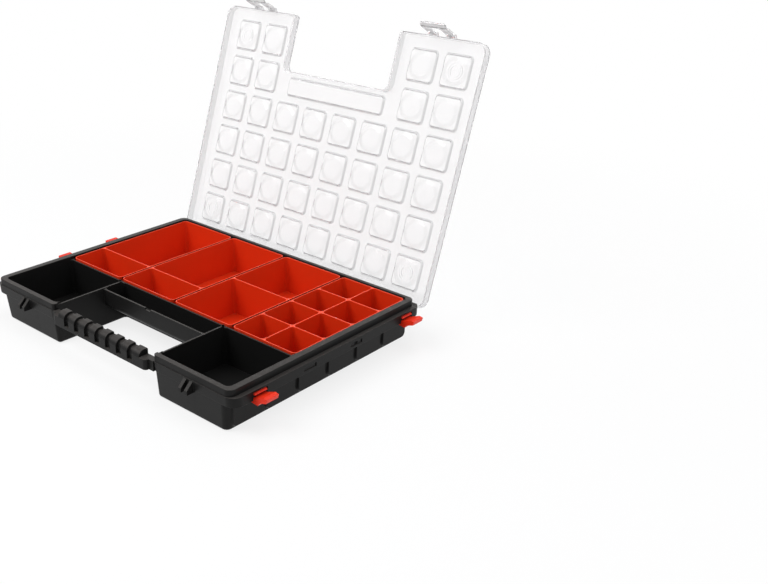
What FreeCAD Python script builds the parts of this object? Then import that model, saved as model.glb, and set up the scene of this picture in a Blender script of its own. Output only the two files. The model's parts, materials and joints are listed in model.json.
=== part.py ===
import FreeCAD, Part
import math
import os

V = FreeCAD.Vector

# Portable organizer case, in millimetres. The origin is on the underside of the tray, +Y runs to the
# hinge, +Z is up. The lid is drawn closed and then swung open, which is the rest position.

# Overall sizes of the closed case
case_width = 399.0
case_depth = 301.0
case_height = 52.6
case_corner = 12.0
middle_offset = 1.0
half_width = case_width / 2
back_edge = middle_offset + case_depth / 2
front_edge = middle_offset - case_depth / 2

# Grid of cells that the lid, the bins and the side walls share
cell_columns = 8
cell_rows = 6
side_margin = 27.8
end_margin = 22.6
grid_middle = 0.8
column_pitch = (case_width - side_margin) / cell_columns
row_pitch = (case_depth - end_margin) / cell_rows

# Tray: lip, ledge and flange
lip_drop = 3.0
lip_top = case_height - lip_drop
lip_side_inset = 5.5
lip_front_inset = 4.5
lip_back_inset = 6.3
lip_half_width = half_width - lip_side_inset
lip_front = front_edge + lip_front_inset
lip_back = back_edge - lip_back_inset
lip_corner = 8.0
ledge_drop = 10.5
ledge_top = case_height - ledge_drop
ledge_thickness = 2.0
flange_drop = 21.0
flange_bottom = case_height - flange_drop
flange_wall = 2.0
flange_front_step = 0.8
flange_back_step = 0.6

# Tray: walls, floor and bays
floor_side_inset = 14.3
floor_front_inset = 8.5
floor_back_inset = 12.1
floor_half_width = half_width - floor_side_inset
floor_front = front_edge + floor_front_inset
floor_back = back_edge - floor_back_inset
floor_thickness = 2.0
side_lean = 2.6
front_lean = 4.0
tray_corner = 7.0
tray_wall = 1.9
tray_bottom_round = 3.5
bay_side_inset = 13.3
bay_front_inset = 10.7
bay_back_inset = 10.9
bay_half_width = half_width - bay_side_inset
bay_front = front_edge + bay_front_inset
bay_back = back_edge - bay_back_inset
bay_lean = 2.7
bay_corner = 5.0
partition_offset = 0.3
partition_back = grid_middle - row_pitch + partition_offset
partition_wall = 1.8
partition_drop = 7.0
partition_top = case_height - partition_drop

# Gap in the front of the tray, where the hand goes
notch_columns = 4
notch_inset = 8.6
notch_half_width = column_pitch * notch_columns / 2 - notch_inset
notch_wall = 2.0
notch_drop = 5.0
notch_wall_top = case_height - notch_drop
notch_corner = 4.0
throat_corner = 3.0

# Shallow trough between the two wells, above the finger room
trough_reach = 31.2
trough_front = partition_back - trough_reach
trough_bottom_drop = 29.0
trough_bottom = case_height - trough_bottom_drop
trough_floor = 2.0
trough_wall = 2.0
trough_drop = 6.0
trough_top = case_height - trough_drop
trough_round = 6.0
trough_nick_width = 9.0
trough_nick_depth = 2.2
trough_nick_place = -6.0

# Carrying handle
handle_proud = 1.3
handle_inset = 11.5
handle_front = front_edge - handle_proud
handle_back = front_edge + handle_inset
handle_drop = 22.0
handle_bottom = case_height - handle_drop
handle_end_gap = 5.8
handle_half_width = notch_half_width - handle_end_gap
handle_corner = 4.0
handle_wall = 4.4
bridge_inset = 4.8
grip_end_gap = 15.8
grip_half_width = notch_half_width - grip_end_gap
grip_drop = 4.0
grip_top = case_height - grip_drop
grip_front_drop = 12.5
grip_front_top = case_height - grip_front_drop
grip_crown_inset = 6.0
grip_crown_start = front_edge + grip_crown_inset
grip_grooves = 7
grip_end_share = 0.64
grip_pitch = grip_half_width * 2 / (grip_grooves + grip_end_share)
grip_groove_width = 8.2
grip_groove_depth = 2.8

# Side panels of the tray
panel_gap = 1.6
panel_foot = 3.0
panel_proud = 1.4
panel_overlap = 1.0
panel_round = 7.0
panel_draft = 1.6

# Lid
lid_plate = 1.5
skirt_wall = 2.0
skirt_lift = 0.3
lid_edge_round = 1.2
lid_notch_inset = 2.4
lid_notch_half_width = notch_half_width - lid_notch_inset
lid_notch_reach = 34.7
lid_notch_back = partition_back - lid_notch_reach
lid_notch_corner = 3.5
lid_throat_corner = 8.5
lid_open_angle = 107.6

# Sunk cells of the lid
pan_gap = 10.0
pan_width = min(column_pitch, row_pitch) - pan_gap
pan_draft = 1.5
pan_depth = 2.3
pan_floor = 1.5
pan_corner = 4.5
dish_rim_share = 0.46
dish_flat_share = 0.33
dish_depth = 0.9
ring_outer_share = 0.25
ring_inner_share = 0.18
ring_height = 1.3
bar_pan_inset = 8.5
bar_pan_step = 7.0
bar_pan_gap = 5.7
bar_pan_half_length = notch_half_width - bar_pan_inset
bar_pan_front = lid_notch_back + bar_pan_step
bar_pan_back = partition_back - bar_pan_gap

# Lid hinge
hinge_inset = 3.0
hinge_drop = 14.5
hinge_y = back_edge - hinge_inset
hinge_z = case_height - hinge_drop
hinge_place_share = 2.5
hinge_places = (-column_pitch * hinge_place_share, column_pitch * hinge_place_share)
hinge_window = 26.0
hinge_window_depth = 7.9
hinge_window_front = back_edge - hinge_window_depth
hinge_rod_radius = 1.8
hinge_hook_radius = 3.4
hinge_hook_length = 20.0
hinge_relief_radius = 3.8
hinge_mouth = 2.8
hinge_arm_overlap = 2.2
running_clearance = 0.06
ear_wall = 2.5

# Latches
latch_side_inset = 62.5
latch_places = (latch_side_inset - half_width, half_width - latch_side_inset)
latch_width = 34.0
latch_window = 14.6
latch_drop = 7.4
latch_axis_z = case_height - latch_drop
latch_barrel_radius = 2.2
latch_pin_radius = 1.4
latch_gap = 0.4
latch_plate = 1.8
latch_length = 25.6
latch_bar = 8.6
latch_shoulder = 3.4
latch_flare = 2.6
latch_flare_height = 5.0
latch_rib = 1.2
latch_rib_width = 1.8
latch_corner = 2.5
latch_rest_angle = 12.0
lug_gap = 0.3
lug_top_drop = 0.6
catch_width = 4.0
catch_spread = 4.4
catch_gap = 0.7
catch_reach = 1.4
catch_land = 4.6
catch_drop = 0.9
catch_top = ledge_top - catch_drop
catch_root = 3.0

# Clips that link two cases side by side
clip_front_inset = 40.0
clip_back_inset = 28.5
clip_left_forward = 38.8
clip_left_backward = 34.2
clip_places_right = (front_edge + clip_front_inset, back_edge - clip_back_inset)
clip_places_left = (grid_middle - clip_left_forward, grid_middle + clip_left_backward)
clip_axis_inset = 2.4
clip_drop = 17.0
clip_axis_z = case_height - clip_drop
clip_rod_radius = 1.8
clip_barrel_radius = 3.6
clip_mouth = 2.8
clip_width = 17.0
clip_side_gap = 1.4
clip_window_depth = 8.2
clip_heel_in = 1.5
clip_heel_drop = 7.5
clip_heel_out = 6.5
clip_heel_toe = 1.0
clip_waist_out = 10.0
clip_waist_drop = 4.5
clip_reach = 18.5
clip_tip_drop = 2.0
clip_tip_rise = 2.2
clip_ridge_out = 14.0
clip_ridge_rise = 3.0
clip_saddle_out = 9.0
clip_saddle_rise = 1.0
clip_pocket_wall = 2.2
clip_lift_right = 0.0
clip_lift_left = 15.0
socket_length = 19.0
socket_bottom_drop = 18.5
socket_top_drop = 14.0
socket_bottom = case_height - socket_bottom_drop
socket_top = case_height - socket_top_drop

# Lift-out bins
bin_count = 4
bin_gap = 2.2
bin_front_gap = 0.5
bin_back_gap = 1.0
bin_front = partition_back + bin_front_gap
bin_back = bay_back - bin_back_gap
bin_drop = 4.4
bin_top = case_height - bin_drop
bin_seat_gap = 0.3
bin_wall = 1.2
bin_floor = 1.5
bin_draft = 2.6
bin_corner = 5.5
divider_wall = 1.5

# Every cutting shape runs on past the face it cuts by this much
overrun = 5.0
third_turn = 120.0
half_turn = 180.0


def rounded_wire(left, right, front, back, radius, height):
    """Level rectangle with rounded corners."""
    turn = math.sqrt(0.5)
    corners = (
        (right - radius, front + radius, 1, -1),
        (right - radius, back - radius, 1, 1),
        (left + radius, back - radius, -1, 1),
        (left + radius, front + radius, -1, -1),
    )
    arcs = []
    for x, y, toward_x, toward_y in corners:
        on_x = V(x + toward_x * radius, y, height)
        on_y = V(x, y + toward_y * radius, height)
        middle = V(x + toward_x * radius * turn, y + toward_y * radius * turn, height)
        start, end = (on_y, on_x) if toward_x * toward_y < 0 else (on_x, on_y)
        arcs.append(Part.Arc(start, middle, end))
    return joined_arcs(arcs)


def joined_arcs(arcs):
    """Closed wire through the arcs, with a straight run from each one to the next."""
    edges = []
    for number, arc in enumerate(arcs):
        following = arcs[(number + 1) % len(arcs)]
        edges.append(arc.toShape())
        edges.append(Part.LineSegment(arc.EndPoint, following.StartPoint).toShape())
    return Part.Wire(edges)


def corner_arc(corner, arriving, leaving, radius):
    """Arc that rounds a square corner, from the arriving run's direction to the leaving one's."""
    start = corner - arriving * radius
    end = corner + leaving * radius
    centre = start + leaving * radius
    middle = centre + (corner - centre).normalize() * radius
    return Part.Arc(start, middle, end)


def notched_wire(half, front, back, notch_half, notch_back, radius, post_radius, throat_radius, height):
    """Level outline of a case with a square gap in the middle of its front."""
    east, west, north, south = V(1, 0, 0), V(-1, 0, 0), V(0, 1, 0), V(0, -1, 0)
    turns = (
        (half, front, east, north, radius),
        (half, back, north, west, radius),
        (-half, back, west, south, radius),
        (-half, front, south, east, radius),
        (-notch_half, front, east, north, post_radius),
        (-notch_half, notch_back, north, east, throat_radius),
        (notch_half, notch_back, east, south, throat_radius),
        (notch_half, front, south, east, post_radius),
    )
    return joined_arcs([corner_arc(V(x, y, height), come, go, r) for x, y, come, go, r in turns])


def raised(wire, height):
    """Upright solid on a level outline."""
    return Part.Face(wire).extrude(V(0, 0, height))


def tapered(lower, upper):
    """Solid with straight sides between two level outlines."""
    return Part.makeLoft([lower, upper], True, True)


def block(left, right, front, back, bottom, top):
    """Square-edged block between six limits."""
    return Part.makeBox(right - left, back - front, top - bottom, V(left, front, bottom))


def rod_along_x(radius, left, right, y, z):
    """Round rod across the case."""
    return Part.makeCylinder(radius, right - left, V(left, y, z), V(1, 0, 0))


def side_profile(points, left, right):
    """Solid whose side outline is drawn in (y, z) and which runs across the case."""
    corners = [V(left, y, z) for y, z in points]
    return Part.Face(Part.makePolygon(corners + corners[:1])).extrude(V(right - left, 0, 0))


def turned(shape, point, axis, degrees):
    """Copy of a shape, turned about an axis."""
    copy = shape.copy()
    copy.rotate(point, axis, degrees)
    return copy


def row_line(number):
    """Y of a grid line, counted from the front."""
    return grid_middle + (number - cell_rows / 2) * row_pitch


def front_face(height):
    """Y of the front wall of the wells at a height: it leans forward towards its top."""
    return floor_front - front_lean * height / ledge_top


def side_face(height):
    """X of the right wall at a height: it leans outward towards its top, as the back wall does."""
    return floor_half_width + side_lean * height / ledge_top


def tray_outline(height):
    """Outline of the tray's outer wall at a height."""
    return notched_wire(
        side_face(height),
        front_face(height),
        floor_back + side_face(height) - floor_half_width,
        notch_half_width,
        partition_back - partition_wall,
        tray_corner,
        notch_corner,
        throat_corner,
        height,
    )


def rim_outline(half, front, back, radius, inset, height):
    """Outline of the lip or the flange, with the gap for the hand in its front."""
    return notched_wire(
        half - inset,
        front + inset,
        back - inset,
        notch_half_width + inset,
        partition_back - partition_wall + inset,
        radius - inset,
        notch_corner,
        throat_corner,
        height,
    )


def tray_shell():
    """Solid tray with its flange and lip, hollow under the flange, before the bays are sunk."""
    tub = tapered(tray_outline(0), tray_outline(ledge_top))
    bottom_edges = [edge for edge in tub.Edges if edge.BoundBox.ZMax < tray_bottom_round]
    tub = tub.makeFillet(tray_bottom_round, bottom_edges)
    flange_back = back_edge - flange_back_step
    flange_outlines = []
    for height in (flange_bottom, ledge_top):
        front = front_face(height) - flange_front_step
        flange_outlines.append(rim_outline(half_width, front, flange_back, case_corner, 0, height))
    flange = tapered(*flange_outlines)
    lip = raised(
        rim_outline(lip_half_width, lip_front, lip_back, lip_corner, 0, ledge_top - ledge_thickness),
        lip_top - ledge_top + ledge_thickness,
    )
    hollow_bottom = flange_bottom - overrun
    hollow_front = front_face(hollow_bottom)
    under_flange = raised(
        rim_outline(half_width, hollow_front, flange_back, case_corner, flange_wall, hollow_bottom),
        ledge_top - ledge_thickness - hollow_bottom,
    )
    under_lip = raised(
        rim_outline(lip_half_width, lip_front, lip_back, lip_corner, flange_wall, flange_bottom),
        lip_top - ledge_thickness - flange_bottom,
    )
    wall_half_width = bay_half_width + tray_wall
    wall_front = bay_front - tray_wall
    wall_back = bay_back + tray_wall
    inner_wall = raised(
        rim_outline(wall_half_width, wall_front, wall_back, lip_corner, 0, flange_bottom),
        lip_top - flange_bottom,
    )
    hollow = under_flange.fuse(under_lip).cut(tub).cut(inner_wall)
    return tub.fuse([flange, lip, inner_wall]).cut(hollow)


def bay(left, right, front, back, left_lean, right_lean, front_lean_in, back_lean):
    """Space sunk into the tray, narrower at the floor by the lean of each of its walls."""
    depth = lip_top - floor_thickness
    rise = 1 + overrun / depth
    lower = rounded_wire(left + left_lean, right - right_lean, front + front_lean_in, back - back_lean,
                         bay_corner, floor_thickness)
    upper = rounded_wire(left + left_lean * (1 - rise), right - right_lean * (1 - rise),
                         front + front_lean_in * (1 - rise), back - back_lean * (1 - rise),
                         bay_corner, lip_top + overrun)
    return tapered(lower, upper)


def tray_bays():
    """Spaces of the tray: the bay for the bins and the two wells at the front."""
    partition_front = partition_back - partition_wall
    well_side = notch_half_width + notch_wall
    main = bay(-bay_half_width, bay_half_width, partition_back, bay_back, bay_lean, bay_lean, 0, bay_lean)
    right = bay(well_side, bay_half_width, bay_front, partition_front, 0, bay_lean, bay_lean, 0)
    left = bay(-bay_half_width, -well_side, bay_front, partition_front, bay_lean, 0, bay_lean, 0)
    return [main, right, left]


def trough():
    """Shallow tray that bridges the two wells, with a rounded lower front edge."""
    partition_front = partition_back - partition_wall
    reach = notch_half_width + notch_wall / 2
    back = partition_front + partition_wall / 2
    body = block(-reach, reach, trough_front, back, trough_bottom, trough_top)
    front_edges = [edge for edge in body.Edges if edge.BoundBox.YMax < trough_front + trough_wall]
    lower_front = [edge for edge in front_edges if edge.BoundBox.ZMax < trough_bottom + trough_wall]
    body = body.makeFillet(trough_round, lower_front)
    inside = rounded_wire(-notch_half_width, notch_half_width, trough_front + trough_wall, partition_front,
                          bay_corner, trough_bottom + trough_floor)
    body = body.cut(raised(inside, trough_top))
    nick = block(trough_nick_place - trough_nick_width / 2, trough_nick_place + trough_nick_width / 2,
                 trough_front - overrun, trough_front + trough_wall + overrun,
                 trough_top - trough_nick_depth, trough_top + overrun)
    return body.cut(nick)


def grip_outline(inset, x):
    """Side outline of the crowned grip at a place along it, drawn in by an inset."""
    front = handle_front + inset
    back = handle_back - inset
    top = grip_top - inset
    front_top = grip_front_top - inset
    crown = grip_crown_start
    middle_share = math.sqrt(0.5)
    middle = V(x, crown + (front - crown) * middle_share, front_top + (top - front_top) * middle_share)
    bottom = handle_bottom if inset == 0 else handle_bottom - overrun
    edges = [
        Part.LineSegment(V(x, front, bottom), V(x, front, front_top)).toShape(),
        Part.Arc(V(x, front, front_top), middle, V(x, crown, top)).toShape(),
        Part.LineSegment(V(x, crown, top), V(x, back, top)).toShape(),
        Part.LineSegment(V(x, back, top), V(x, back, bottom)).toShape(),
        Part.LineSegment(V(x, back, bottom), V(x, front, bottom)).toShape(),
    ]
    return Part.Wire(edges)


def grip_length(inset, left, right):
    """Stretch of the grip's outline, as a solid."""
    return Part.Face(grip_outline(inset, left)).extrude(V(right - left, 0, 0))


def handle():
    """Carrying handle, a hollow bar with a ribbed grip, that bridges the front of the two wells."""
    ends = rounded_wire(-handle_half_width, handle_half_width, handle_front, handle_back,
                        handle_corner, handle_bottom)
    bar = raised(ends, ledge_top - handle_bottom)
    reach = notch_half_width + notch_wall / 2
    bridge = block(-reach, reach, handle_front + bridge_inset, handle_back, handle_bottom, ledge_top)
    grip = grip_length(0, -grip_half_width, grip_half_width)
    hollow_half = grip_half_width - handle_wall
    hollow = grip_length(handle_wall, -hollow_half, hollow_half)
    grooves = []
    for number in range(grip_grooves):
        middle = (number - (grip_grooves - 1) / 2) * grip_pitch
        low = middle - grip_groove_width / 2
        high = middle + grip_groove_width / 2
        cover = block(low, high, handle_front - overrun, handle_back + overrun,
                      ledge_top - grip_groove_width, grip_top + overrun)
        core = grip_length(grip_groove_depth, low - overrun, high + overrun)
        behind = block(low, high, grip_crown_start, handle_back + overrun,
                       handle_bottom, grip_top - grip_groove_depth)
        grooves.append(cover.cut(core).cut(behind))
    return bar.fuse([bridge, grip]).cut(grooves + [hollow])


def catches():
    """Ramped catches in pairs under the latches, on the front of the two wells."""
    tip = latch_axis_y() - catch_reach
    bottom = latch_axis_z - latch_length + latch_bar + catch_gap
    wall = front_face(bottom) + catch_root
    outline = (
        (wall, catch_top),
        (front_face(catch_top) - flange_front_step, catch_top),
        (tip, bottom + catch_land),
        (tip, bottom),
        (wall, bottom),
    )
    teeth = []
    for middle in latch_places:
        for x in (middle - catch_spread, middle + catch_spread):
            teeth.append(side_profile(outline, x - catch_width / 2, x + catch_width / 2))
    return teeth


def side_panels():
    """Rounded panels that stand proud of the side walls, one to each row of cells."""
    panels = []
    root = floor_half_width - tray_wall / 2
    face = side_face(flange_bottom) + panel_proud
    for side in (-1, 1):
        for number in range(cell_rows):
            outlines = []
            for out, inset in ((root, 0), (face, panel_draft)):
                outlines.append(rounded_wire(
                    row_line(number) + panel_gap + inset,
                    row_line(number + 1) - panel_gap - inset,
                    panel_foot + inset,
                    flange_bottom + panel_overlap,
                    panel_round - inset,
                    side * out,
                ))
            panels.append(turned(tapered(*outlines), V(0, 0, 0), V(1, 1, 1), third_turn))
    return panels


def hinge_windows():
    """Openings in the back flange for the lid's hooks, and the rods and ears that go in them."""
    windows = []
    fittings = []
    flange_back = back_edge - flange_back_step
    for x in hinge_places:
        left = x - hinge_window / 2
        right = x + hinge_window / 2
        windows.append(block(left, right, hinge_window_front, back_edge + overrun,
                             flange_bottom - overrun, ledge_top + overrun))
        fittings.append(rod_along_x(hinge_rod_radius, left - ear_wall, right + ear_wall, hinge_y, hinge_z))
        for low in (left - ear_wall, right):
            fittings.append(block(low, low + ear_wall, floor_back + side_lean / 2, flange_back,
                                  flange_bottom, ledge_top - ledge_thickness / 2))
    return windows, fittings


def hinge_relief():
    """Material off the flange's back edge, so that the lid's skirt swings round it."""
    length = case_width + overrun
    around = block(-length / 2, length / 2, hinge_y, back_edge + overrun, hinge_z, lip_top)
    return around.cut(rod_along_x(hinge_relief_radius, -length, length, hinge_y, hinge_z))


def clip_axis(side):
    """X of the rods that the clips turn on."""
    return side * (half_width - clip_axis_inset)


def clip_windows():
    """Openings in the side flanges for the clips, with their rods and ears, and the sockets."""
    windows = []
    fittings = []
    window = clip_width + clip_side_gap * 2
    for side, places, socket_places in ((1, clip_places_right, clip_places_left),
                                        (-1, clip_places_left, clip_places_right)):
        outside = side * (half_width + overrun)
        inside = side * (half_width - clip_window_depth)
        low_x, high_x = min(outside, inside), max(outside, inside)
        for y in places:
            low = y - window / 2
            high = y + window / 2
            windows.append(block(low_x, high_x, low, high,
                                 flange_bottom - overrun, ledge_top - ledge_thickness))
            fittings.append(Part.makeCylinder(clip_rod_radius, window + ear_wall * 2,
                                              V(clip_axis(side), low - ear_wall, clip_axis_z), V(0, 1, 0)))
            root = side * (floor_half_width + side_lean / 2)
            face = side * half_width
            for start in (low - ear_wall, high):
                fittings.append(block(min(root, face), max(root, face), start, start + ear_wall,
                                      flange_bottom, ledge_top - ledge_thickness / 2))
        for y in socket_places:
            windows.append(block(low_x, high_x, y - socket_length / 2, y + socket_length / 2,
                                 socket_bottom, socket_top))
    return windows, fittings


def base_tray():
    """Black tray: bays, wells, trough, handle, catches, hinge rods and clip rods in one moulding."""
    hinge_gaps, hinge_fittings = hinge_windows()
    clip_gaps, clip_fittings = clip_windows()
    partition_front = partition_back - partition_wall
    tray = tray_shell().fuse([handle(), trough()] + catches() + side_panels())
    low_partition = block(-bay_half_width, bay_half_width,
                          partition_front - trough_wall, partition_back + overrun,
                          partition_top, lip_top + overrun)
    low_posts = block(-notch_half_width - notch_wall, notch_half_width + notch_wall,
                      bay_front, partition_back, notch_wall_top, lip_top + overrun)
    tray = tray.cut(tray_bays() + [low_partition, low_posts])
    tray = tray.cut(hinge_gaps + clip_gaps)
    tray = tray.fuse(hinge_fittings + clip_fittings)
    return tray.cut(hinge_relief()).removeSplitter()


def lid_outline(inset, height):
    """Outline of the lid, drawn in by an inset all round."""
    return notched_wire(
        half_width - inset,
        front_edge + inset,
        back_edge - inset,
        lid_notch_half_width + inset,
        lid_notch_back + inset,
        case_corner - inset,
        lid_notch_corner - inset,
        lid_throat_corner + inset,
        height,
    )


def pan_places():
    """Middles of the lid's square pans: none where the gap for the hand is."""
    places = []
    for row in range(cell_rows):
        for column in range(cell_columns):
            x = (column - (cell_columns - 1) / 2) * column_pitch
            y = (row_line(row) + row_line(row + 1)) / 2
            beside_gap = abs(x) > lid_notch_half_width
            behind_gap = y - row_pitch / 2 > bar_pan_back
            if beside_gap or behind_gap:
                places.append((x, y))
    return places


def pan_pair(left, right, front, back):
    """A pan's body under the lid's plate, and the pocket that hollows it from above."""
    plate_under = case_height - lid_plate
    floor_top = case_height - pan_depth
    body = tapered(
        rounded_wire(left, right, front, back, pan_corner, floor_top - pan_floor),
        rounded_wire(left - pan_draft, right + pan_draft, front - pan_draft, back + pan_draft,
                     pan_corner + pan_draft, plate_under),
    )
    pocket = tapered(
        rounded_wire(left + pan_draft, right - pan_draft, front + pan_draft, back - pan_draft,
                     pan_corner - pan_draft, floor_top),
        rounded_wire(left, right, front, back, pan_corner, case_height),
    )
    return body, pocket


def square_pan():
    """A square pan about the origin: its body, and its pocket with the round dish in its floor."""
    half = pan_width / 2
    body, pocket = pan_pair(-half, half, -half, half)
    floor_top = case_height - pan_depth
    dish = Part.makeCone(pan_width * dish_flat_share, pan_width * dish_rim_share, dish_depth,
                         V(0, 0, floor_top - dish_depth))
    return body, pocket.fuse(dish)


def lid_hooks():
    """Hooks on the lid's back skirt that snap over the tray's rods."""
    hooks = []
    bore = hinge_rod_radius + running_clearance
    skirt_bottom = ledge_top + skirt_lift
    for x in hinge_places:
        left = x - hinge_hook_length / 2
        right = x + hinge_hook_length / 2
        ring = rod_along_x(hinge_hook_radius, left, right, hinge_y, hinge_z)
        arm = block(left, right, back_edge - skirt_wall, back_edge,
                    hinge_z, skirt_bottom + hinge_arm_overlap)
        hole = rod_along_x(bore, left - overrun, right + overrun, hinge_y, hinge_z)
        mouth = block(left - overrun, right + overrun, hinge_y - hinge_mouth / 2, hinge_y + hinge_mouth / 2,
                      hinge_z - hinge_hook_radius - overrun, hinge_z)
        hooks.append(ring.fuse(arm).cut([hole, mouth]))
    return hooks


def latch_axis_y():
    """Y of the latches' pins on the closed lid, just in front of its skirt."""
    return front_edge - latch_gap - latch_barrel_radius


def leg_places():
    """Left edge, from the middle of a latch, of each of its two legs, and how wide a leg is."""
    leg = (latch_width - latch_window) / 2
    return (-latch_width / 2, latch_window / 2), leg


def latch_lugs():
    """Pairs of lugs on the lid's front skirt, each pair with a pin between them."""
    lugs = []
    axis_y = latch_axis_y()
    outline = (
        (front_edge + skirt_wall / 2, case_height - lug_top_drop - lid_edge_round),
        (front_edge - lid_edge_round, case_height - lug_top_drop - lid_edge_round),
        (axis_y - latch_barrel_radius, latch_axis_z + latch_barrel_radius),
        (axis_y - latch_barrel_radius, latch_axis_z),
        (axis_y - latch_pin_radius, latch_axis_z - latch_barrel_radius),
        (front_edge + skirt_wall / 2, latch_axis_z - latch_barrel_radius),
    )
    starts, leg = leg_places()
    for middle in latch_places:
        for start in starts:
            left = middle + start
            right = left + leg
            lugs.append(side_profile(outline, left, left + latch_rib_width))
            lugs.append(side_profile(outline, right - latch_rib_width, right))
            lugs.append(rod_along_x(latch_pin_radius, left + latch_rib_width / 2,
                                    right - latch_rib_width / 2, axis_y, latch_axis_z))
    return lugs


def lid():
    """Clear lid: a skirted plate with sunk pans, hinge hooks and latch lugs, swung open."""
    skirt_bottom = ledge_top + skirt_lift
    shell = raised(lid_outline(0, skirt_bottom), case_height - skirt_bottom)
    rim = [edge for edge in shell.Edges if edge.BoundBox.ZMin > case_height - lid_plate]
    shell = shell.makeFillet(lid_edge_round, rim)
    inside = raised(lid_outline(skirt_wall, skirt_bottom - overrun),
                    case_height - lid_plate - skirt_bottom + overrun)
    shell = shell.cut(inside)
    body, pocket = square_pan()
    bodies = []
    pockets = []
    rings = []
    corner_x = (cell_columns - 1) / 2 * column_pitch
    corner_rows = (row_line(0) + row_pitch / 2, row_line(cell_rows) - row_pitch / 2)
    for x, y in pan_places():
        place = V(x, y, 0)
        bodies.append(body.translated(place))
        pockets.append(pocket.translated(place))
        in_last_column = abs(x) + column_pitch / 2 > corner_x
        in_last_row = min(abs(y - row) for row in corner_rows) < row_pitch / 2
        if in_last_column and in_last_row:
            foot = V(x, y, case_height - pan_depth - dish_depth)
            ring = Part.makeCylinder(pan_width * ring_outer_share, ring_height, foot)
            rings.append(ring.cut(Part.makeCylinder(pan_width * ring_inner_share, ring_height, foot)))
    bar_body, bar_pocket = pan_pair(-bar_pan_half_length, bar_pan_half_length, bar_pan_front, bar_pan_back)
    shell = shell.fuse(bodies + [bar_body])
    shell = shell.cut(pockets + [bar_pocket])
    shell = shell.fuse(rings + lid_hooks() + latch_lugs()).removeSplitter()
    return opened(shell)


def opened(shape):
    """A piece of the closed lid, swung to where the open lid holds it."""
    return turned(shape, V(0, hinge_y, hinge_z), V(-1, 0, 0), lid_open_angle)


def latch(x):
    """Clear latch: two ribbed legs on the lid's pins and a flared bar between their feet."""
    axis_y = latch_axis_y()
    left = x - latch_width / 2
    right = x + latch_width / 2
    inner = axis_y + latch_plate / 2
    outer = axis_y - latch_plate / 2
    foot = latch_axis_z - latch_length
    shoulder = latch_axis_z - latch_shoulder
    flare_start = foot + latch_flare_height
    outline = (
        (inner, latch_axis_z),
        (inner, flare_start),
        (inner - latch_flare, foot),
        (outer - latch_flare, foot),
        (outer, flare_start),
        (outer, latch_axis_z),
    )
    plate = side_profile(outline, left, right)
    corners = [
        edge for edge in plate.Edges
        if edge.BoundBox.XLength < latch_plate / 2 and edge.BoundBox.ZMax < foot + latch_plate / 2
    ]
    plate = plate.makeFillet(latch_corner, corners)
    rib_outline = (
        (axis_y, shoulder),
        (outer - latch_rib, shoulder),
        (outer - latch_rib, flare_start + latch_flare_height),
        (outer, flare_start),
        (axis_y, flare_start),
    )
    added = []
    removed = []
    starts, leg = leg_places()
    for start in starts:
        low = x + start
        high = low + leg
        neck_low = low + latch_rib_width + lug_gap
        neck_high = high - latch_rib_width - lug_gap
        added.append(side_profile(rib_outline, low, low + latch_rib_width))
        added.append(side_profile(rib_outline, high - latch_rib_width, high))
        added.append(rod_along_x(latch_barrel_radius, neck_low, neck_high, axis_y, latch_axis_z))
        for cut_low, cut_high in ((low - overrun, neck_low), (neck_high, high + overrun)):
            removed.append(block(cut_low, cut_high, inner - overrun, inner + overrun,
                                 shoulder, latch_axis_z + overrun))
    removed.append(block(x - latch_window / 2, x + latch_window / 2, axis_y - overrun, axis_y + overrun,
                         foot + latch_bar, latch_axis_z + overrun))
    removed.append(rod_along_x(latch_pin_radius + running_clearance, left - overrun, right + overrun,
                               axis_y, latch_axis_z))
    whole = plate.fuse(added).cut(removed).removeSplitter()
    swung = turned(whole, V(x, axis_y, latch_axis_z), V(-1, 0, 0), latch_rest_angle)
    return opened(swung)


def clip(side, y, lift):
    """Red clip: an open barrel that snaps over the tray's rod, with a heel and a hooked tongue."""
    half = clip_width / 2
    outline = (
        (-clip_barrel_radius, 0),
        (-clip_heel_in, -clip_heel_drop),
        (clip_heel_out, -clip_heel_drop - clip_heel_toe),
        (clip_waist_out, -clip_waist_drop),
        (clip_reach - clip_heel_toe, -clip_tip_drop),
        (clip_reach, clip_tip_rise),
        (clip_ridge_out, clip_ridge_rise),
        (clip_saddle_out, clip_saddle_rise),
        (clip_rod_radius, -clip_rod_radius),
        (0, 0),
    )
    corners = [V(out, -half, up) for out, up in outline]
    arm = Part.Face(Part.makePolygon(corners + corners[:1])).extrude(V(0, clip_width, 0))
    pocket = block(clip_pocket_wall - clip_heel_in, clip_heel_out - clip_pocket_wall / 2,
                   -half + clip_pocket_wall, half - clip_pocket_wall,
                   -clip_heel_drop - overrun, -clip_barrel_radius - clip_pocket_wall / 2)
    barrel = Part.makeCylinder(clip_barrel_radius, clip_width, V(0, -half, 0), V(0, 1, 0))
    bore = Part.makeCylinder(clip_rod_radius + running_clearance, clip_width + overrun * 2,
                             V(0, -half - overrun, 0), V(0, 1, 0))
    mouth = block(0, clip_barrel_radius, -half - overrun, half + overrun, -clip_mouth / 2, clip_mouth / 2)
    whole = arm.fuse(barrel).cut([bore, mouth, pocket]).removeSplitter()
    whole = turned(whole, V(0, 0, 0), V(0, 1, 0), -lift)
    if side < 0:
        whole = turned(whole, V(0, 0, 0), V(0, 0, 1), half_turn)
    return whole.translated(V(clip_axis(side), y, clip_axis_z))


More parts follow.
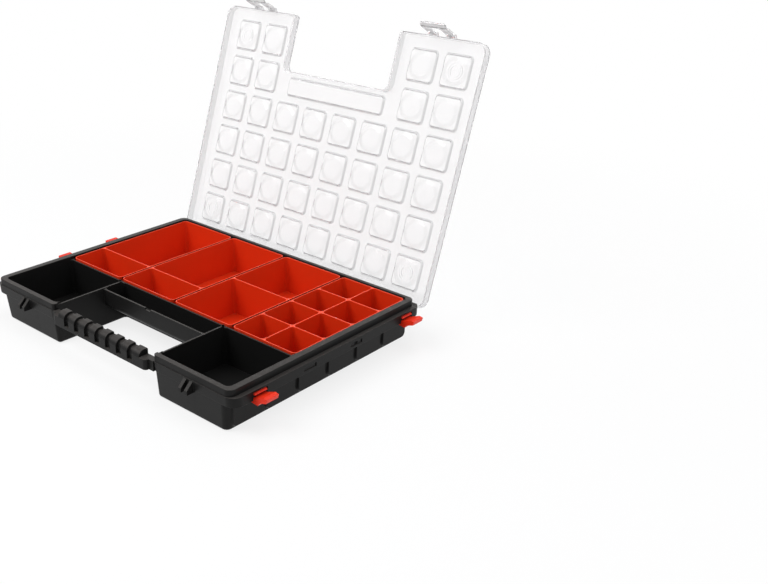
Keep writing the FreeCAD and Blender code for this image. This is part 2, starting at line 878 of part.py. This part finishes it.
def bin_cells(low_x, high_x, columns, breaks):
    """Cells of a bin: how many side by side, and the y of the dividers across it."""
    edges_y = [bin_front + bin_wall] + list(breaks) + [bin_back - bin_wall]
    width = (high_x - low_x - 2 * bin_wall) / columns
    cells = []
    for column in range(columns):
        left = low_x + bin_wall + column * width
        right = left + width
        left_edge = left + (divider_wall / 2 if column else 0)
        right_edge = right - (divider_wall / 2 if column < columns - 1 else 0)
        outer_left = 0 if column else bin_draft
        outer_right = 0 if column < columns - 1 else bin_draft
        for row in range(len(edges_y) - 1):
            front = edges_y[row] + (divider_wall / 2 if row else 0)
            back = edges_y[row + 1] - (divider_wall / 2 if row < len(edges_y) - 2 else 0)
            outer_front = 0 if row else bin_draft
            outer_back = 0 if row < len(edges_y) - 2 else bin_draft
            floor_top = floor_thickness + bin_seat_gap + bin_floor
            radius = bin_corner - bin_wall
            lower = rounded_wire(left_edge + outer_left, right_edge - outer_right, front + outer_front,
                                 back - outer_back, radius, floor_top)
            upper = rounded_wire(left_edge, right_edge, front, back, radius, bin_top)
            cells.append(tapered(lower, upper))
    return cells


def lift_out_bin(number, columns, breaks):
    """Red bin that lifts out of the tray."""
    pitch = column_pitch * cell_columns / bin_count
    width = pitch - bin_gap
    middle = (number - (bin_count - 1) / 2) * pitch
    low_x = middle - width / 2
    high_x = middle + width / 2
    bottom = floor_thickness + bin_seat_gap
    lower = rounded_wire(low_x + bin_draft, high_x - bin_draft, bin_front + bin_draft, bin_back - bin_draft,
                         bin_corner, bottom)
    upper = rounded_wire(low_x, high_x, bin_front, bin_back, bin_corner, bin_top)
    return tapered(lower, upper).cut(bin_cells(low_x, high_x, columns, breaks)).removeSplitter()


def main():
    """Write every piece of the case."""
    wide_break = (row_line(3),)
    narrow_breaks = (row_line(3), row_line(4), row_line(5))
    pieces = {
        "base_tray": base_tray(),
        "lid": lid(),
        "latch_left": latch(latch_places[0]),
        "latch_right": latch(latch_places[1]),
        "clip_front_left": clip(-1, clip_places_left[0], clip_lift_left),
        "clip_back_left": clip(-1, clip_places_left[1], clip_lift_left),
        "clip_front_right": clip(1, clip_places_right[0], clip_lift_right),
        "clip_back_right": clip(1, clip_places_right[1], clip_lift_right),
        "bin_outer_left": lift_out_bin(0, 1, wide_break),
        "bin_inner_left": lift_out_bin(1, 1, wide_break),
        "bin_inner_right": lift_out_bin(2, 1, (row_line(4),)),
        "bin_outer_right": lift_out_bin(3, 2, narrow_breaks),
    }
    os.makedirs("parts", exist_ok=True)
    for name, shape in pieces.items():
        print(name, "solids", len(shape.Solids), "valid", shape.isValid(), "volume", round(shape.Volume))
        shape.exportStep("parts/" + name + ".step")


main()
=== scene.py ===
import json
import math

import bmesh
import bpy
from bpy.props import FloatProperty, FloatVectorProperty, PointerProperty
from mathutils import Matrix, Vector


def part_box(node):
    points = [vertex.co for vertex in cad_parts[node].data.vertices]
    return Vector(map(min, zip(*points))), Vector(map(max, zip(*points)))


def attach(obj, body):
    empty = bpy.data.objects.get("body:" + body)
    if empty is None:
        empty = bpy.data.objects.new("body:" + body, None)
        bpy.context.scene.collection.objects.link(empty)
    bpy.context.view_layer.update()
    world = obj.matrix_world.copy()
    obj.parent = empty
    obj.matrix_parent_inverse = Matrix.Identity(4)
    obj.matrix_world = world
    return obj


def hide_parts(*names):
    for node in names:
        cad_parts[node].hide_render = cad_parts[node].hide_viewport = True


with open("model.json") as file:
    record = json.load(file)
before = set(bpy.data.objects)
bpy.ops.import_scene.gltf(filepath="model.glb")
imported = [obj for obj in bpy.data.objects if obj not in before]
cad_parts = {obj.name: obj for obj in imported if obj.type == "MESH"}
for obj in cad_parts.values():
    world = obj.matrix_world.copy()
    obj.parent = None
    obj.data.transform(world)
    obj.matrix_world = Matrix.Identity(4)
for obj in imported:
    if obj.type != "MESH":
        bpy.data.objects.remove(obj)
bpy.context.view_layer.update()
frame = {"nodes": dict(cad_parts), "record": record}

bl_info = {
    "name": "Portable organizer case",
    "version": (1, 0, 0),
    "blender": (4, 5, 0),
    "location": "3D View > Sidebar > Organizer",
    "description": "Dresses the organizer case in moulded plastic and sets it in a pale studio",
    "category": "Object",
}

MILLIMETRE = 0.001

TRAY = "base_tray"
LID = "lid"
LATCHES = ("latch_left", "latch_right")
CLIPS = ("clip_front_left", "clip_back_left", "clip_front_right", "clip_back_right")
BINS = ("bin_outer_left", "bin_inner_left", "bin_inner_right", "bin_outer_right")

# Rounding of the tray's lip and the bins' rims
MERGE_DISTANCE = MILLIMETRE / 1000
LEVEL_TOLERANCE = MILLIMETRE / 100
RIM_ANGLE = math.radians(45)
TIGHT_TURN = math.radians(100)
CORNER_REACH = 10  # room kept beside a tight turn, in radii of the rounding
ROUND_SEGMENTS = 3
SMOOTH_ANGLE = math.radians(32)

# Plastics
PLASTIC_IOR = 1.49
BEVEL_SAMPLES = 4
WEAR_RADIUS = 0.9 * MILLIMETRE
GRAIN_STRENGTH = 0.5
SCRATCH_TURN = (0.3, 0.2, 0.7)
SCRATCH_STRETCH = (1.0, 9.0, 1.0)
RED_GLOW_REACH = (0.0025, 0.0006, 0.0003)
# Strength of the painted shade in the gaps between bins
GAP_SHADE_STRENGTH = 0.85
RIPPLE_DEPTH = 0.15 * MILLIMETRE
SHADOW_TINT = (0.90, 0.905, 0.91, 1.0)
SHADOW_CLEARNESS = 0.85

# Studio, in metres
WHITE = (1.0, 1.0, 1.0, 1.0)
AMBIENT_TINT = (0.97, 0.98, 1.0, 1.0)
FLOOR_REACH = 8.0
FLOOR_DROP = 0.3 * MILLIMETRE
LAMP_AIM = (0.0, 0.0, 0.05)
SOFTBOXES = (  # name, place, size, share of the main lamp's power
    ("key_softbox", (-0.9, -1.5, 2.1), 1.6, 1.0),
    ("top_softbox", (0.3, 0.5, 2.4), 1.8, 0.40),
    ("side_softbox", (1.9, 0.2, 1.2), 1.0, 0.12),
)
SENSOR_WIDTH = 36.0
NEAREST_SEEN = 0.01


class Strand:
    """A shader socket in an expression: arithmetic on it adds Math nodes to its tree."""

    def __init__(self, tree, socket=None):
        self.tree = tree
        self.socket = socket

    def node(self, kind, settings=None, inputs=None, output=0):
        """Adds a node, sets it up, feeds its sockets and gives one of its outputs."""
        made = self.tree.nodes.new(kind)
        for name, value in (settings or {}).items():
            setattr(made, name, value)
        for name, value in (inputs or {}).items():
            if isinstance(value, Strand):
                self.tree.links.new(value.socket, made.inputs[name])
            else:
                made.inputs[name].default_value = value
        return Strand(self.tree, made.outputs[output] if len(made.outputs) else None)

    def math(self, operation, first, second=0.0):
        """Math node on one or two values."""
        return self.node("ShaderNodeMath", {"operation": operation}, {0: first, 1: second})

    def __add__(self, other):
        return self.math("ADD", self, other)

    __radd__ = __add__

    def __sub__(self, other):
        return self.math("SUBTRACT", self, other)

    def __rsub__(self, other):
        return self.math("SUBTRACT", other, self)

    def __mul__(self, other):
        return self.math("MULTIPLY", self, other)

    __rmul__ = __mul__

    def clamped(self):
        """The value held between 0 and 1."""
        return self.node("ShaderNodeClamp", None, {"Value": self})

    def rising(self, low, high):
        """0 below low, 1 above high, smooth between."""
        return self.node("ShaderNodeMapRange", {"interpolation_type": "SMOOTHSTEP"},
                         {"Value": self, "From Min": low, "From Max": high})

    def blended(self, first, second):
        """Mix of two colours by this value."""
        return self.node("ShaderNodeMix", {"data_type": "RGBA"}, {0: self, 6: first, 7: second}, 2)

    def coordinates(self, kind):
        """Coordinates of the point that is shaded: Object, Normal or Generated."""
        return self.node("ShaderNodeTexCoord", None, None, kind)

    def ray(self, kind):
        """1 for rays of one kind, and 0 for the rest."""
        return self.node("ShaderNodeLightPath", None, None, "Is " + kind + " Ray")

    def dot(self, first, second):
        """Dot product of two directions."""
        return self.node("ShaderNodeVectorMath", {"operation": "DOT_PRODUCT"}, {0: first, 1: second}, "Value")

    def part(self, vector, name):
        """One coordinate of a vector."""
        return self.node("ShaderNodeSeparateXYZ", None, {0: vector}, "XYZ".index(name))

    def axis(self, place, name):
        """One coordinate of a place, in millimetres."""
        return self.part(place, name) * (1 / MILLIMETRE)

    def noise(self, place, millimetres, detail=2.0, rough=0.5):
        """Clouds about as large as a number of millimetres."""
        return self.node("ShaderNodeTexNoise", None,
                         {"Vector": place, "Scale": 1 / (millimetres * MILLIMETRE),
                          "Detail": detail, "Roughness": rough})


def colour(value, share=1.0):
    """Property colour, or a darker share of it, as the four numbers that a socket takes."""
    return (value[0] * share, value[1] * share, value[2] * share, 1.0)


def new_material(name):
    """Empty node material, as a strand to build on."""
    material = bpy.data.materials.new(name)
    material.use_nodes = True
    material.node_tree.nodes.clear()
    return material, Strand(material.node_tree)


def moulded_normal(start, place, edge_radius, grain, depth):
    """Softened edges with a fine moulded grain on top, all in millimetres."""
    edges = start.node("ShaderNodeBevel", {"samples": BEVEL_SAMPLES}, {"Radius": edge_radius * MILLIMETRE})
    fine = start.noise(place, grain, detail=3.0, rough=0.6)
    return start.node("ShaderNodeBump", None,
                      {"Height": fine, "Strength": GRAIN_STRENGTH, "Distance": depth * MILLIMETRE,
                       "Normal": edges})


def finish_material(start, shader):
    """Ends a material's tree with its shader."""
    start.node("ShaderNodeOutputMaterial", None, {"Surface": shader})


class TrayFinish(bpy.types.PropertyGroup):
    """Black moulding of the tray."""

    plastic: FloatVectorProperty(name="Plastic", description="Colour of the black plastic", subtype="COLOR",
                                 size=3, min=0, max=1, default=(0.0074, 0.0072, 0.0072))
    # The scuff colour serves real rubbing and specks, and also a painted highlight along the edges
    scuff_and_edge_highlight: FloatVectorProperty(name="Scuffs", description="Colour of rubbed plastic", subtype="COLOR",
                               size=3, min=0, max=1, default=(0.034, 0.034, 0.031))
    # The lip colour is a painted highlight: it pales the upward faces of the lip and grip
    lip: FloatVectorProperty(name="Lip", description="Colour of the lip and grip, paled by handling",
                             subtype="COLOR", size=3, min=0, max=1, default=(0.056, 0.051, 0.048))
    roughness: FloatProperty(name="Roughness", description="Gloss of the satin skin", subtype="FACTOR",
                             min=0, max=1, default=0.40)
    lip_round: FloatProperty(name="Lip rounding", description="Radius along the top of the lip",
                             unit="LENGTH", min=0.0002, max=0.0008, default=0.0006)


class BinFinish(bpy.types.PropertyGroup):
    """Red mouldings: the lift-out bins and the clips."""

    plastic: FloatVectorProperty(name="Bins", description="Colour of the bins", subtype="COLOR",
                                 size=3, min=0, max=1, default=(0.70, 0.036, 0.006))
    # The rim colour is painted light on the rims' upward faces, and also the colour of the pale scratches
    rim: FloatVectorProperty(name="Rims", description="Colour of the thin rims, where light comes through",
                             subtype="COLOR", size=3, min=0, max=1, default=(0.95, 0.086, 0.036))
    # Gap shade colour: painted shade under the rims in the gaps between bins
    gap_shade: FloatVectorProperty(name="Soil",
                              description="Colour under the rims, where soil gathers between bins",
                              subtype="COLOR", size=3, min=0, max=1, default=(0.07, 0.004, 0.002))
    clip: FloatVectorProperty(name="Clips", description="Colour of the clips", subtype="COLOR",
                              size=3, min=0, max=1, default=(0.80, 0.030, 0.008))
    roughness: FloatProperty(name="Roughness", description="Gloss of the red plastic", subtype="FACTOR",
                             min=0, max=1, default=0.36)
    rim_round: FloatProperty(name="Rim rounding", description="Radius along the rims of the bins",
                             unit="LENGTH", min=0.0001, max=0.0006, default=0.00045)


class LidFinish(bpy.types.PropertyGroup):
    """Clear mouldings: the lid and the latches."""

    plastic: FloatVectorProperty(name="Plastic", description="Tint of the clear plastic", subtype="COLOR",
                                 size=3, min=0, max=1, default=(0.945, 0.938, 0.942))
    # The wall tint is painted shade on the steep walls of the clear parts
    wall_shade: FloatVectorProperty(name="Walls", description="Tint of the steep walls, where light goes sideways",
                              subtype="COLOR", size=3, min=0, max=1, default=(0.73, 0.725, 0.73))
    clearness: FloatProperty(name="Clearness", description="Share of the light that goes through",
                             subtype="FACTOR", min=0, max=1, default=0.82)
    roughness: FloatProperty(name="Roughness", description="Haze of the clear plastic", subtype="FACTOR",
                             min=0, max=1, default=0.10)


class StudioSettings(bpy.types.PropertyGroup):
    """Floor, lamps and camera."""

    floor: FloatVectorProperty(name="Floor", description="Colour of the floor", subtype="COLOR",
                               size=3, min=0, max=1, default=(0.86, 0.86, 0.86))
    lamp: FloatProperty(name="Lamps", description="Power of the main lamp", unit="POWER", min=0, default=47.0)
    ambient: FloatProperty(name="Ambient", description="Light from all round", min=0, max=2, default=0.42)
    camera_place: FloatVectorProperty(name="Camera", description="Where the camera stands",
                                      subtype="TRANSLATION", unit="LENGTH", size=3,
                                      default=(0.7725, -0.6966, 0.5093))
    azimuth: FloatProperty(name="Azimuth", description="Direction of view round the case", subtype="ANGLE",
                           default=math.radians(42.42))
    elevation: FloatProperty(name="Elevation", description="How far the view looks down", subtype="ANGLE",
                             default=math.radians(24.13))
    roll: FloatProperty(name="Roll", description="Tilt of the camera", subtype="ANGLE",
                        default=math.radians(0.62))
    lens: FloatProperty(name="Lens", description="Focal length in millimetres", min=10, max=300, default=46.31)
    shift: FloatProperty(name="Shift", description="Sideways shift of the frame", default=0.1224)


def tray_material(finish):
    """Satin black plastic: flow clouds, rubbed edges that are lighter partly as painted highlight, fine
    specks, a paler lip whose upward faces carry a painted highlight, and a moulded grain.
    """
    material, start = new_material("tray_black_satin")
    place = start.coordinates("Object")
    clouds = start.noise(place, millimetres=60, detail=3.0)
    specks = start.noise(place, millimetres=1.6).rising(low=0.66, high=0.80)
    rub = start.noise(place, millimetres=9, detail=4.0, rough=0.65).rising(low=0.52, high=0.75)

    # Edges go lighter partly as rubbed wear and partly as a painted highlight along them
    soft = start.node("ShaderNodeBevel", {"samples": BEVEL_SAMPLES}, {"Radius": WEAR_RADIUS})
    flat = start.node("ShaderNodeNewGeometry", None, None, "Normal")
    edge = (1 - start.dot(soft, flat)).rising(low=0.02, high=0.30)
    edge_share, rubbed_edge_share, speck_share, cloud_share = 0.35, 0.5, 0.10, 0.10
    edge_wear_and_highlight = edge * (edge_share + rubbed_edge_share * rub)
    wear_and_edge_highlight = (edge_wear_and_highlight + specks * speck_share + clouds * cloud_share).clamped()

    # Painted highlight: upward faces high on the tray (the lip and grip) turn to the paler lip colour, patchy
    # with the rub clouds
    upward = start.part(start.coordinates("Normal"), "Z").rising(low=0.45, high=0.90)
    high = start.axis(place, "Z").rising(low=22.0, high=30.0)
    lip_highlight_share, patchy_lip_highlight_share = 0.75, 0.25
    painted_lip_highlight = upward * high * (lip_highlight_share + patchy_lip_highlight_share * rub)

    skin = wear_and_edge_highlight.blended(colour(finish.plastic), colour(finish.scuff_and_edge_highlight))
    skin = painted_lip_highlight.blended(skin, colour(finish.lip))
    smoothest, cloud_haze, rub_haze = finish.roughness - 0.06, 0.10, 0.05
    gloss = (smoothest + clouds * cloud_haze + rub * rub_haze).clamped()
    normal = moulded_normal(start, place, edge_radius=0.5, grain=0.7, depth=0.05)
    shader = start.node("ShaderNodeBsdfPrincipled", None,
                        {"Base Color": skin, "Roughness": gloss, "Normal": normal, "IOR": PLASTIC_IOR,
                         "Specular IOR Level": 0.13})
    finish_material(start, shader)
    return material


def painted_gap_shade(start, place, rim_height):
    """Painted shade in the narrow gaps between neighbouring bins: darkest just under their rims, none further
    down.
    """
    pitch = (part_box(BINS[1])[0].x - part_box(BINS[0])[0].x) / MILLIMETRE
    middle = (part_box(BINS[1])[1].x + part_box(BINS[2])[0].x) / 2 / MILLIMETRE
    half_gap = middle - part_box(BINS[1])[1].x / MILLIMETRE
    away = start.math("PINGPONG", start.axis(place, "X") - middle, pitch / 2)
    in_gap = 1 - away.rising(low=half_gap + 0.3, high=half_gap + 0.7)
    height = start.axis(place, "Z")
    above_unshaded = height.rising(low=rim_height - 3.5, high=rim_height - 2.0)
    below_rim = 1 - height.rising(low=rim_height - 0.5, high=rim_height - 0.3)
    return above_unshaded * below_rim * in_gap * GAP_SHADE_STRENGTH


def red_material(name, finish, plastic, rim_height=None):
    """Red plastic: flow clouds and pale scratches, and on bins painted light on the rim with painted shade in
    the gaps under it.
    """
    material, start = new_material(name)
    place = start.coordinates("Object")
    clouds = start.noise(place, millimetres=45, detail=3.0)
    scratch_place = start.node("ShaderNodeMapping", None,
                               {"Vector": place, "Rotation": SCRATCH_TURN, "Scale": SCRATCH_STRETCH})
    scratches = start.noise(scratch_place, millimetres=7, detail=4.0, rough=0.7).rising(low=0.64, high=0.74)

    cloud_share, cloud_start, dark_share, scratch_share = 0.5, 0.1, 0.80, 0.10
    flow = (clouds * cloud_share - cloud_start).clamped()
    base = flow.blended(colour(plastic), colour(plastic, dark_share))
    skin = (scratches * scratch_share).blended(base, colour(finish.rim))
    if rim_height is not None:
        # Painted light: upward faces at the very top of the rim turn to the pale rim colour, standing in for
        # light through the thin rim
        rim_light_share = 0.85
        rim = start.axis(place, "Z").rising(low=rim_height - 0.5, high=rim_height - 0.1)
        upward = start.part(start.coordinates("Normal"), "Z").rising(low=0.55, high=0.95)
        skin = (rim * upward * rim_light_share).blended(skin, colour(finish.rim))
        # Painted shade darkens the gaps between bins just under their rims
        skin = painted_gap_shade(start, place, rim_height).blended(skin, colour(finish.gap_shade))

    smoothest, cloud_haze, scratch_haze = finish.roughness - 0.05, 0.10, 0.14
    gloss = (smoothest + clouds * cloud_haze + scratches * scratch_haze).clamped()
    normal = moulded_normal(start, place, edge_radius=0.35, grain=0.9, depth=0.03)
    shader = start.node("ShaderNodeBsdfPrincipled", None,
                        {"Base Color": skin, "Roughness": gloss, "Normal": normal, "IOR": PLASTIC_IOR,
                         "Specular IOR Level": 0.25, "Subsurface Weight": 0.06,
                         "Subsurface Radius": RED_GLOW_REACH, "Subsurface Scale": 1.0})
    finish_material(start, shader)
    return material


def plate_normal():
    """Direction that the lid's plate faces where it rests, from its hinge's travel."""
    hinge = next(joint for joint in frame["record"]["behaviour"]["joints"] if joint["child"] == LID)
    swing = math.radians(hinge["range_deg"][0])
    return Matrix.Rotation(-swing, 3, Vector(hinge["axis"])) @ Vector((0.0, 0.0, 1.0))


def clear_material(name, finish):
    """Clear plastic with a faint haze and greyer walls painted as shade where light bends sideways, which lets
    most of the lamps' light through.
    """
    material, start = new_material(name)
    place = start.coordinates("Object")
    haze = start.noise(place, millimetres=30, detail=3.0)
    scratches = start.noise(place, millimetres=2.2, detail=4.0, rough=0.7).rising(low=0.60, high=0.75)
    smoothest, haze_share, scratch_share = finish.roughness - 0.04, 0.08, 0.06
    gloss = (smoothest + haze * haze_share + scratches * scratch_share).clamped()
    ripple = start.noise(place, millimetres=14)
    normal = start.node("ShaderNodeBump", None,
                        {"Height": ripple, "Strength": 0.12, "Distance": RIPPLE_DEPTH})

    # Painted shade: steep walls and the small steps of the plate turn to the greyer wall tint
    across = start.dot(start.coordinates("Normal"), plate_normal())
    slope = 1 - start.math("ABSOLUTE", across)
    upright = slope.rising(low=0.70, high=0.95)
    draft_share, step_share = 0.85, 0.45
    drafted = slope.rising(low=0.08, high=0.30) * draft_share * (1 - upright)
    stepped = slope.rising(low=0.006, high=0.014) * step_share
    wall_shade = (drafted + stepped).clamped()

    flow_share, dark_share = 0.6, 0.96
    flow = (haze * flow_share).clamped()
    clear = flow.blended(colour(finish.plastic), colour(finish.plastic, dark_share))
    skin = wall_shade.blended(clear, colour(finish.wall_shade))
    body = start.node("ShaderNodeBsdfPrincipled", None,
                      {"Base Color": skin, "Roughness": gloss, "Normal": normal, "IOR": PLASTIC_IOR,
                       "Transmission Weight": finish.clearness})
    bare = start.node("ShaderNodeBsdfTransparent", None, {"Color": SHADOW_TINT})
    shadow = start.ray("Shadow") * SHADOW_CLEARNESS
    shader = start.node("ShaderNodeMixShader", None, {0: shadow, 1: body, 2: bare})
    finish_material(start, shader)
    return material


def dress(names, material):
    """Puts a material on CAD nodes."""
    for name in names:
        node = frame["nodes"][name]
        node.data.materials.clear()
        node.data.materials.append(material)


def rim_test(top):
    """Test for the sharp edges that lie level at a height."""
    def on_rim(edge):
        level = all(abs(vert.co.z - top) < LEVEL_TOLERANCE for vert in edge.verts)
        return level and edge.calc_face_angle(0.0) > RIM_ANGLE
    return on_rim


def clear_of_corners(edges, reach):
    """The edges that keep away from tight turns between them, where a rounding would fold over itself."""
    ways = {}
    for edge in edges:
        for vert in edge.verts:
            ways.setdefault(vert, []).append(edge.other_vert(vert).co - vert.co)
    corners = [vert.co for vert, pair in ways.items()
               if len(pair) == 2 and pair[0].angle(pair[1]) < TIGHT_TURN]
    middles = [(edge, (edge.verts[0].co + edge.verts[1].co) / 2) for edge in edges]
    return [edge for edge, middle in middles
            if all((middle - corner).length > reach for corner in corners)]


def rounded_copy(name, piece_name, radius, chosen):
    """Copy of a CAD node with the chosen edges rounded, which stands for the node."""
    node = frame["nodes"][name]
    shape = bmesh.new()
    shape.from_mesh(node.data)
    bmesh.ops.remove_doubles(shape, verts=shape.verts, dist=MERGE_DISTANCE)
    edges = [edge for edge in shape.edges if len(edge.link_faces) == 2 and chosen(edge)]
    edges = clear_of_corners(edges, CORNER_REACH * radius)
    if not edges:
        raise RuntimeError("no edges to round on " + name)
    bmesh.ops.bevel(shape, geom=edges, offset=radius, offset_type="OFFSET", affect="EDGES",
                    segments=ROUND_SEGMENTS, profile=0.5, material=-1, clamp_overlap=False)
    for face in shape.faces:
        face.smooth = True
    for edge in shape.edges:
        edge.smooth = len(edge.link_faces) == 2 and edge.calc_face_angle(0.0) < SMOOTH_ANGLE
    mesh = bpy.data.meshes.new(piece_name)
    shape.to_mesh(mesh)
    shape.free()
    piece = bpy.data.objects.new(piece_name, mesh)
    bpy.context.scene.collection.objects.link(piece)
    even = piece.modifiers.new("even_shading", "WEIGHTED_NORMAL")
    even.keep_sharp = True
    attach(piece, name)
    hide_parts(name)
    return piece


class ORGANIZER_OT_dress_tray(bpy.types.Operator):
    """Dress the black tray, with a rounded lip"""

    bl_idname = "organizer.dress_tray"
    bl_label = "Dress tray"

    def execute(self, context):
        finish = context.scene.organizer_tray
        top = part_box(TRAY)[1].z
        piece = rounded_copy(TRAY, TRAY + "_moulding", finish.lip_round, rim_test(top))
        piece.data.materials.append(tray_material(finish))
        return {"FINISHED"}


class ORGANIZER_OT_dress_bins(bpy.types.Operator):
    """Dress the red bins, with rounded rims"""

    bl_idname = "organizer.dress_bins"
    bl_label = "Dress bins"

    def execute(self, context):
        finish = context.scene.organizer_bins
        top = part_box(BINS[0])[1].z
        material = red_material("bin_red_satin", finish, finish.plastic, top / MILLIMETRE)
        for name in BINS:
            piece = rounded_copy(name, name + "_moulding", finish.rim_round, rim_test(top))
            piece.data.materials.append(material)
        return {"FINISHED"}


class ORGANIZER_OT_dress_clips(bpy.types.Operator):
    """Dress the red clips at the sides"""

    bl_idname = "organizer.dress_clips"
    bl_label = "Dress clips"

    def execute(self, context):
        finish = context.scene.organizer_bins
        dress(CLIPS, red_material("clip_red_satin", finish, finish.clip))
        return {"FINISHED"}


class ORGANIZER_OT_dress_lid(bpy.types.Operator):
    """Dress the clear lid"""

    bl_idname = "organizer.dress_lid"
    bl_label = "Dress lid"

    def execute(self, context):
        dress([LID], clear_material("lid_clear_plastic", context.scene.organizer_lid))
        return {"FINISHED"}


class ORGANIZER_OT_dress_latches(bpy.types.Operator):
    """Dress the clear latches"""

    bl_idname = "organizer.dress_latches"
    bl_label = "Dress latches"

    def execute(self, context):
        dress(LATCHES, clear_material("latch_clear_plastic", context.scene.organizer_lid))
        return {"FINISHED"}


def floor_material(studio):
    """Pale floor: plain to the lamps, near white to the camera, with the case's shadow kept."""
    material, start = new_material("studio_floor")
    place = start.coordinates("Object")
    clouds = start.noise(place, millimetres=400)
    dark_share = 0.99
    tone = clouds.blended(colour(studio.floor), colour(studio.floor, dark_share))
    matte = start.node("ShaderNodeBsdfDiffuse", None, {"Color": tone})
    glow = start.node("ShaderNodeEmission", None, {"Color": WHITE, "Strength": 1.0})
    distance = start.node("ShaderNodeVectorMath", {"operation": "LENGTH"}, {0: place}, "Value")
    far = distance.rising(low=0.30, high=1.10)
    near_glow, far_glow = 0.80, 0.20
    seen = (start.ray("Camera") + start.ray("Glossy") + start.ray("Transmission")).clamped()
    share = seen * (near_glow + far_glow * far)
    finish_material(start, start.node("ShaderNodeMixShader", None, {0: share, 1: matte, 2: glow}))
    return material


def studio_world(studio):
    """White surroundings, dimmer overhead for gloss and for light bent in clear plastic."""
    world = bpy.data.worlds.new("studio_world")
    world.use_nodes = True
    world.node_tree.nodes.clear()
    start = Strand(world.node_tree)
    height = start.part(start.coordinates("Generated"), "Z")
    low = 1 - height.rising(low=0.05, high=0.45)
    below_lamps = 1 - height.rising(low=0.50, high=0.80)
    through = start.ray("Transmission") * low
    gloss = start.ray("Glossy") * below_lamps
    level = (start.ray("Camera") + through + gloss).clamped()
    white = start.node("ShaderNodeBackground", None, {"Color": WHITE, "Strength": 1.0})
    dim = start.node("ShaderNodeBackground", None, {"Color": AMBIENT_TINT, "Strength": studio.ambient})
    mixed = start.node("ShaderNodeMixShader", None, {0: level, 1: dim, 2: white})
    start.node("ShaderNodeOutputWorld", None, {"Surface": mixed})
    return world


def add_floor(studio):
    """Wide floor just under the case."""
    shape = bmesh.new()
    bmesh.ops.create_grid(shape, x_segments=1, y_segments=1, size=FLOOR_REACH)
    bmesh.ops.translate(shape, verts=shape.verts, vec=(0.0, 0.0, -FLOOR_DROP))
    mesh = bpy.data.meshes.new("studio_floor")
    shape.to_mesh(mesh)
    shape.free()
    floor = bpy.data.objects.new("studio_floor", mesh)
    floor.data.materials.append(floor_material(studio))
    bpy.context.scene.collection.objects.link(floor)


def add_softbox(name, place, aim, size, power):
    """Square lamp that faces a point."""
    lamp = bpy.data.lights.new(name, "AREA")
    lamp.shape = "SQUARE"
    lamp.size = size
    lamp.energy = power
    softbox = bpy.data.objects.new(name, lamp)
    softbox.location = place
    softbox.rotation_euler = (Vector(aim) - Vector(place)).to_track_quat("-Z", "Y").to_euler()
    bpy.context.scene.collection.objects.link(softbox)


def add_camera(studio):
    """Camera at the photograph's viewing angle."""
    camera = bpy.data.cameras.new("photo_camera")
    camera.sensor_width = SENSOR_WIDTH
    camera.lens = studio.lens
    camera.shift_x = studio.shift
    camera.clip_start = NEAREST_SEEN
    eye = bpy.data.objects.new("photo_camera", camera)
    turn = (Matrix.Rotation(studio.azimuth, 4, "Z")
            @ Matrix.Rotation(math.pi / 2 - studio.elevation, 4, "X")
            @ Matrix.Rotation(studio.roll, 4, "Z"))
    eye.matrix_world = Matrix.Translation(Vector(studio.camera_place)) @ turn
    bpy.context.scene.collection.objects.link(eye)
    bpy.context.scene.camera = eye


class ORGANIZER_OT_set_stage(bpy.types.Operator):
    """Add the floor, the lamps and the camera"""

    bl_idname = "organizer.set_stage"
    bl_label = "Set stage"

    def execute(self, context):
        studio = context.scene.organizer_studio
        add_floor(studio)
        context.scene.world = studio_world(studio)
        for name, place, size, share in SOFTBOXES:
            add_softbox(name, place, LAMP_AIM, size, studio.lamp * share)
        add_camera(studio)
        context.scene.view_settings.view_transform = "Standard"
        return {"FINISHED"}


class ORGANIZER_PT_panel(bpy.types.Panel):
    """Steps and settings of the organizer case"""

    bl_label = "Organizer case"
    bl_idname = "ORGANIZER_PT_panel"
    bl_space_type = "VIEW_3D"
    bl_region_type = "UI"
    bl_category = "Organizer"

    def draw(self, context):
        layout = self.layout
        for step in STEPS:
            layout.operator(step.bl_idname)
        for name, group in SETTINGS.items():
            box = layout.box()
            settings = getattr(context.scene, name)
            for setting in group.__annotations__:
                box.prop(settings, setting)


STEPS = (
    ORGANIZER_OT_dress_tray,
    ORGANIZER_OT_dress_bins,
    ORGANIZER_OT_dress_clips,
    ORGANIZER_OT_dress_lid,
    ORGANIZER_OT_dress_latches,
    ORGANIZER_OT_set_stage,
)
SETTINGS = {
    "organizer_tray": TrayFinish,
    "organizer_bins": BinFinish,
    "organizer_lid": LidFinish,
    "organizer_studio": StudioSettings,
}


def register():
    """Make the settings, the steps and the panel known to Blender."""
    for name, group in SETTINGS.items():
        bpy.utils.register_class(group)
        setattr(bpy.types.Scene, name, PointerProperty(type=group))
    for step in STEPS:
        bpy.utils.register_class(step)
    bpy.utils.register_class(ORGANIZER_PT_panel)


def unregister():
    """Take the panel, the steps and the settings away again."""
    bpy.utils.unregister_class(ORGANIZER_PT_panel)
    for step in reversed(STEPS):
        bpy.utils.unregister_class(step)
    for name, group in SETTINGS.items():
        delattr(bpy.types.Scene, name)
        bpy.utils.unregister_class(group)


def main():
    """Register and run every step."""
    register()
    for step in STEPS:
        family, name = step.bl_idname.split(".")
        getattr(getattr(bpy.ops, family), name)()


if __name__ == "__main__":
    main()
